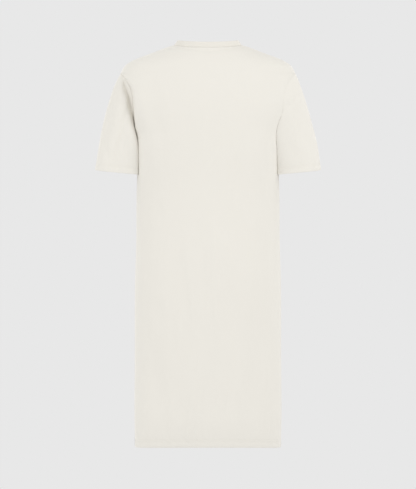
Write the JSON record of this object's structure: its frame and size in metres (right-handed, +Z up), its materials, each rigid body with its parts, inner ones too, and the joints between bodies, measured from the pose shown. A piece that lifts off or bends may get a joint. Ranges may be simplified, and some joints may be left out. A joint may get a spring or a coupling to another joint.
{
  "type": "t-shirt dress",
  "caption": "Plain crew-neck t-shirt dress in cotton jersey with short sleeves and a straight knee-length skirt, filled out as worn, hollow and open at neck, cuffs and hem.",
  "frame": {"origin": "midway between the two high shoulder points, where the wearer's shoulders hold the dress", "axes": "+Z up along the wearer's spine, +X towards the wearer's right, +Y the way the wearer faces; the back panel faces -Y"},
  "size_m": [0.622, 0.2264, 1.1202],
  "materials": {
    "jersey": "matt ecru single jersey of cotton",
    "rib": "matt ecru cotton rib"
  },
  "bodies": {
    "root": {"back_panel": "jersey", "front_panel": "jersey", "sleeve_left": "jersey", "sleeve_right": "jersey", "neckband": "rib"}
  },
  "joints": []
}
